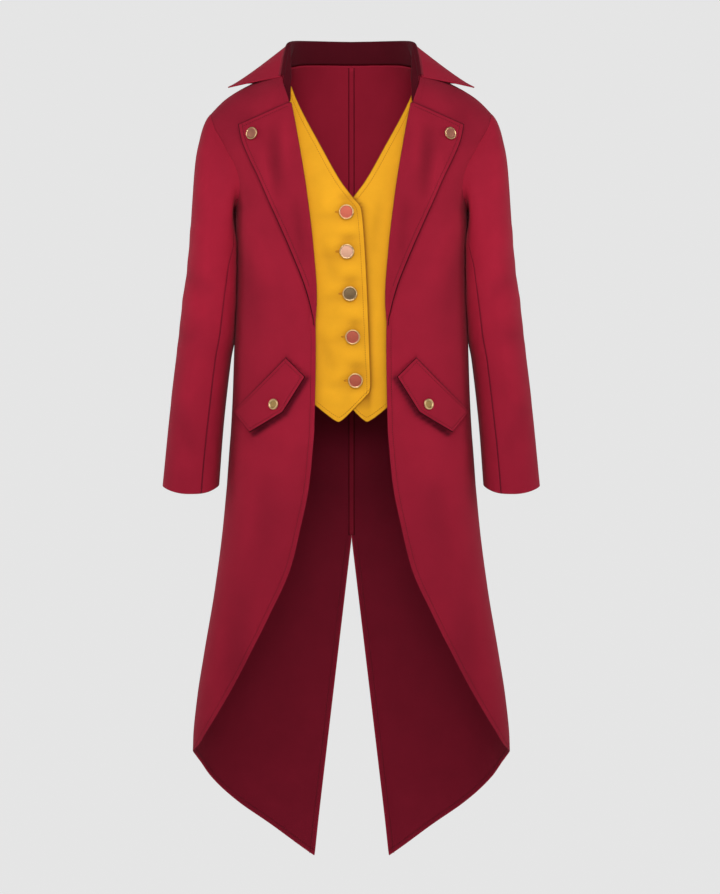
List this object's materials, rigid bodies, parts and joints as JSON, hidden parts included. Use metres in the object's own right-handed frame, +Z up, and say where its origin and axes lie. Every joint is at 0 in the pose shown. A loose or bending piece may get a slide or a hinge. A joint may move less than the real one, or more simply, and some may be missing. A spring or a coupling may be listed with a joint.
{
  "type": "cutaway tailcoat with mock waistcoat",
  "caption": "Long cutaway tailcoat with pointed tails, wide buttoned-back lapels, a pointed collar and a buttoned mock waistcoat sewn inside its fronts.",
  "frame": {"origin": "middle of the neck opening, 5 mm under the inner ends of the shoulder seams, on the plane of the shoulder line", "axes": "+Z up along the wearer's spine, -Y the way the coat faces, +X towards the wearer's left"},
  "size_m": [0.5828, 0.277, 1.3045],
  "materials": {
    "crimson_cloth": "fine twill weave, matt with a soft sheen",
    "yellow_cloth": "smooth close weave, slightly satin",
    "button_metal": "polished, dished face in a raised rim"
  },
  "bodies": {
    "root": {"front_left": "crimson_cloth", "front_right": "crimson_cloth", "back_left": "crimson_cloth", "back_right": "crimson_cloth", "top_sleeve_left": "crimson_cloth", "top_sleeve_right": "crimson_cloth", "under_sleeve_left": "crimson_cloth", "under_sleeve_right": "crimson_cloth", "collar": "crimson_cloth", "lapel_left": "crimson_cloth", "lapel_right": "crimson_cloth", "pocket_flap_left": "crimson_cloth", "pocket_flap_right": "crimson_cloth", "vest_front_right": "yellow_cloth", "vest_front_left": "yellow_cloth", "vest_button_1": "button_metal", "vest_button_2": "button_metal", "vest_button_3": "button_metal", "vest_button_4": "button_metal", "vest_button_5": "button_metal", "lapel_button_left": "button_metal", "lapel_button_right": "button_metal", "flap_button_left": "button_metal", "flap_button_right": "button_metal"}
  },
  "joints": []
}
